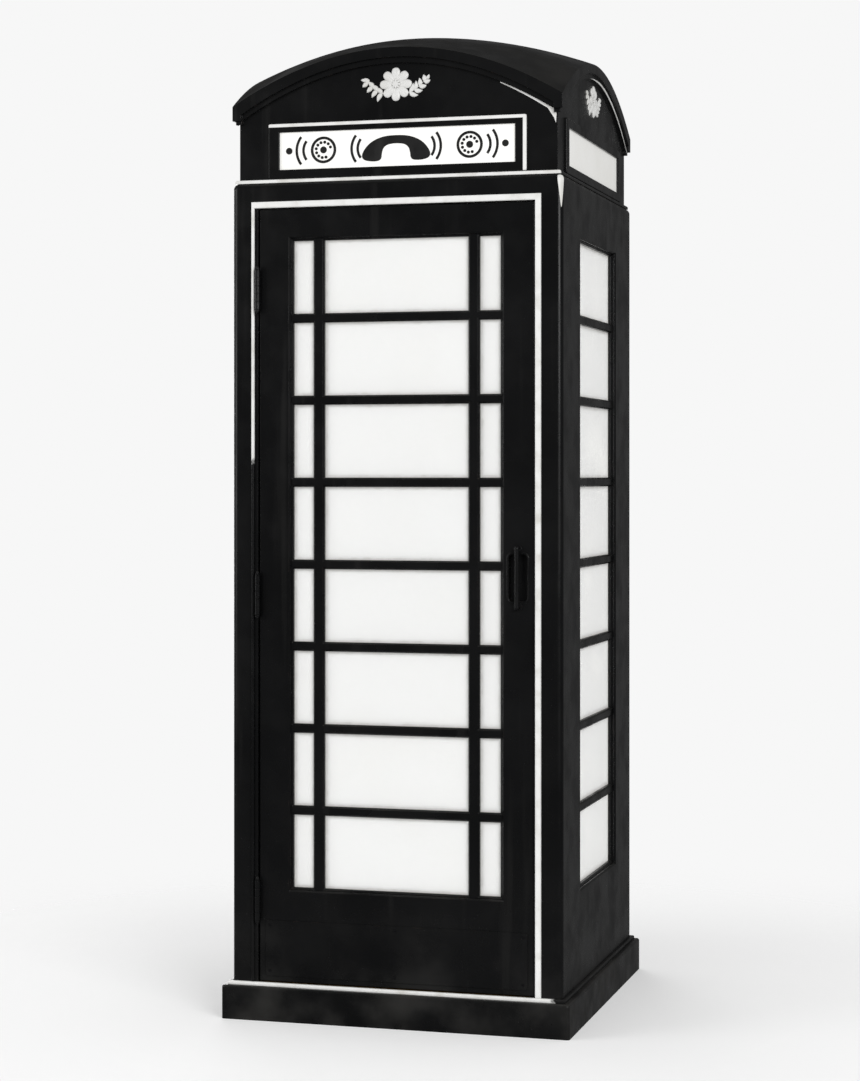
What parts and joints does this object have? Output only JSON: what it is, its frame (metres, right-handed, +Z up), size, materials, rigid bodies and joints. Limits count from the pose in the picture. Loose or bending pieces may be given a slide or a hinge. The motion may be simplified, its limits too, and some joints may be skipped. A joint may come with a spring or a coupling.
{
  "type": "telephone kiosk",
  "caption": "Cast-iron telephone kiosk with glazed walls, a swing door, a shallow domed roof with lit signs, and a coin telephone on a backboard inside.",
  "frame": {"origin": "centre of the plinth's underside", "axes": "+Z up, the door faces -Y, +X to the right as seen facing the door"},
  "size_m": [0.9, 0.9, 2.515],
  "materials": {
    "black_enamel": "gloss",
    "concrete_enamel": "satin",
    "timber_enamel": "gloss",
    "door_iron": "gloss",
    "white_enamel_trim": "satin",
    "white_emblem": "satin",
    "sign_frame_enamel": "gloss",
    "opal_glass": "gloss",
    "pane_glass": "gloss",
    "galvanised_steel": "satin",
    "ribbed_brass": "satin",
    "white_sheet": "satin",
    "lamp_metal": "satin",
    "bulb_glass": "gloss",
    "floor_stone": "matte",
    "seal_rubber": "matte",
    "board_timber": "satin",
    "phone_enamel": "satin",
    "phone_chrome": "polished",
    "plate_enamel": "gloss",
    "tin": "satin",
    "bakelite": "gloss",
    "card": "matte",
    "mirror_glass": "polished"
  },
  "bodies": {
    "kiosk": {"plinth": "concrete_enamel", "floor_panel": "floor_stone", "threshold_plate": "ribbed_brass", "front_frame": "black_enamel", "left_side_frame": "black_enamel", "right_side_frame": "black_enamel", "back_panel": "black_enamel", "foot_bead": "white_enamel_trim", "shoulder_bead": "white_enamel_trim", "door_surround_bead": "white_enamel_trim", "roof_casting": "black_enamel", "sign_frames": "sign_frame_enamel", "sign_glasses": "opal_glass", "roof_emblems": "white_emblem", "roof_bolts": "galvanised_steel", "ceiling_panel": "white_sheet", "lamp_base": "lamp_metal", "lamp_bulb": "bulb_glass", "lamp_lens": "opal_glass", "left_glazing_bars": "black_enamel", "right_glazing_bars": "black_enamel", "left_panes": "pane_glass", "right_panes": "pane_glass", "door_seal": "seal_rubber", "hinge_frame_leaves": "door_iron", "hinge_pins": "door_iron", "corner_angles": "galvanised_steel", "corner_bolts": "galvanised_steel", "backboard": "board_timber", "directory_shelf": "board_timber", "shelf_brackets": "galvanised_steel", "conduit": "galvanised_steel", "conduit_saddles": "galvanised_steel", "notice_frame": "phone_chrome", "notice_card": "card", "mirror": "mirror_glass", "phone_case": "phone_enamel", "phone_cover": "phone_enamel", "instruction_plate": "plate_enamel", "coin_slot_plate": "phone_chrome", "coin_mechanism": "tin", "coin_return_cup": "phone_chrome", "dial_plate": "plate_enamel", "finger_stop": "phone_chrome", "cash_box": "tin", "cord_gland": "phone_chrome"},
    "door": {"door_leaf": "timber_enamel", "door_glazing_bars": "black_enamel", "door_panes": "pane_glass", "door_kick_plate": "door_iron", "door_pull": "door_iron", "hinge_door_leaves": "door_iron"},
    "dial": {"finger_wheel": "phone_chrome"},
    "handset": {"handset_handle": "bakelite", "handset_caps": "bakelite"},
    "hook": {"switch_hook": "phone_chrome"},
    "coin_button": {"return_button": "phone_chrome"},
    "coin_flap": {"return_flap": "phone_chrome"},
    "cash_hatch": {"cash_door": "phone_chrome", "cash_lock": "tin"}
  },
  "joints": [
    {"name": "door_swing", "type": "hinge", "parent": "kiosk", "child": "door", "pos_m": [-0.358, -0.436, 1.07], "axis": [0, 0, -1], "range_deg": [0, 95], "stiffness_Nm_per_rad": 8},
    {"name": "handset_lift", "type": "slide", "parent": "kiosk", "child": "handset", "axis": [0, -0.9404, 0.3401], "range_m": [0, 0.15]},
    {"name": "hook_tilt", "type": "hinge", "parent": "kiosk", "child": "hook", "pos_m": [-0.122, 0.324, 1.478], "axis": [-1, 0, 0], "range_deg": [0, 8]},
    {"name": "dial_turn", "type": "hinge", "parent": "kiosk", "child": "dial", "pos_m": [-0.028, 0.237, 1.39], "axis": [0, 1, 0], "range_deg": [0, 330], "stiffness_Nm_per_rad": 0.02},
    {"name": "coin_button_press", "type": "slide", "parent": "kiosk", "child": "coin_button", "axis": [0, 1, 0], "range_m": [0, 0.003], "stiffness_N_per_m": 300},
    {"name": "coin_flap_swing", "type": "hinge", "parent": "kiosk", "child": "coin_flap", "pos_m": [-0.07, 0.234, 1.2765], "axis": [-1, 0, 0], "range_deg": [0, 75]},
    {"name": "cash_hatch_swing", "type": "hinge", "parent": "kiosk", "child": "cash_hatch", "pos_m": [-0.097, 0.229, 1.155], "axis": [0, 0, -1], "range_deg": [0, 110]}
  ],
  "couplings": [
    {"joint": "hook_tilt", "follows": "handset_lift", "rad_per_m": 0.93}
  ]
}
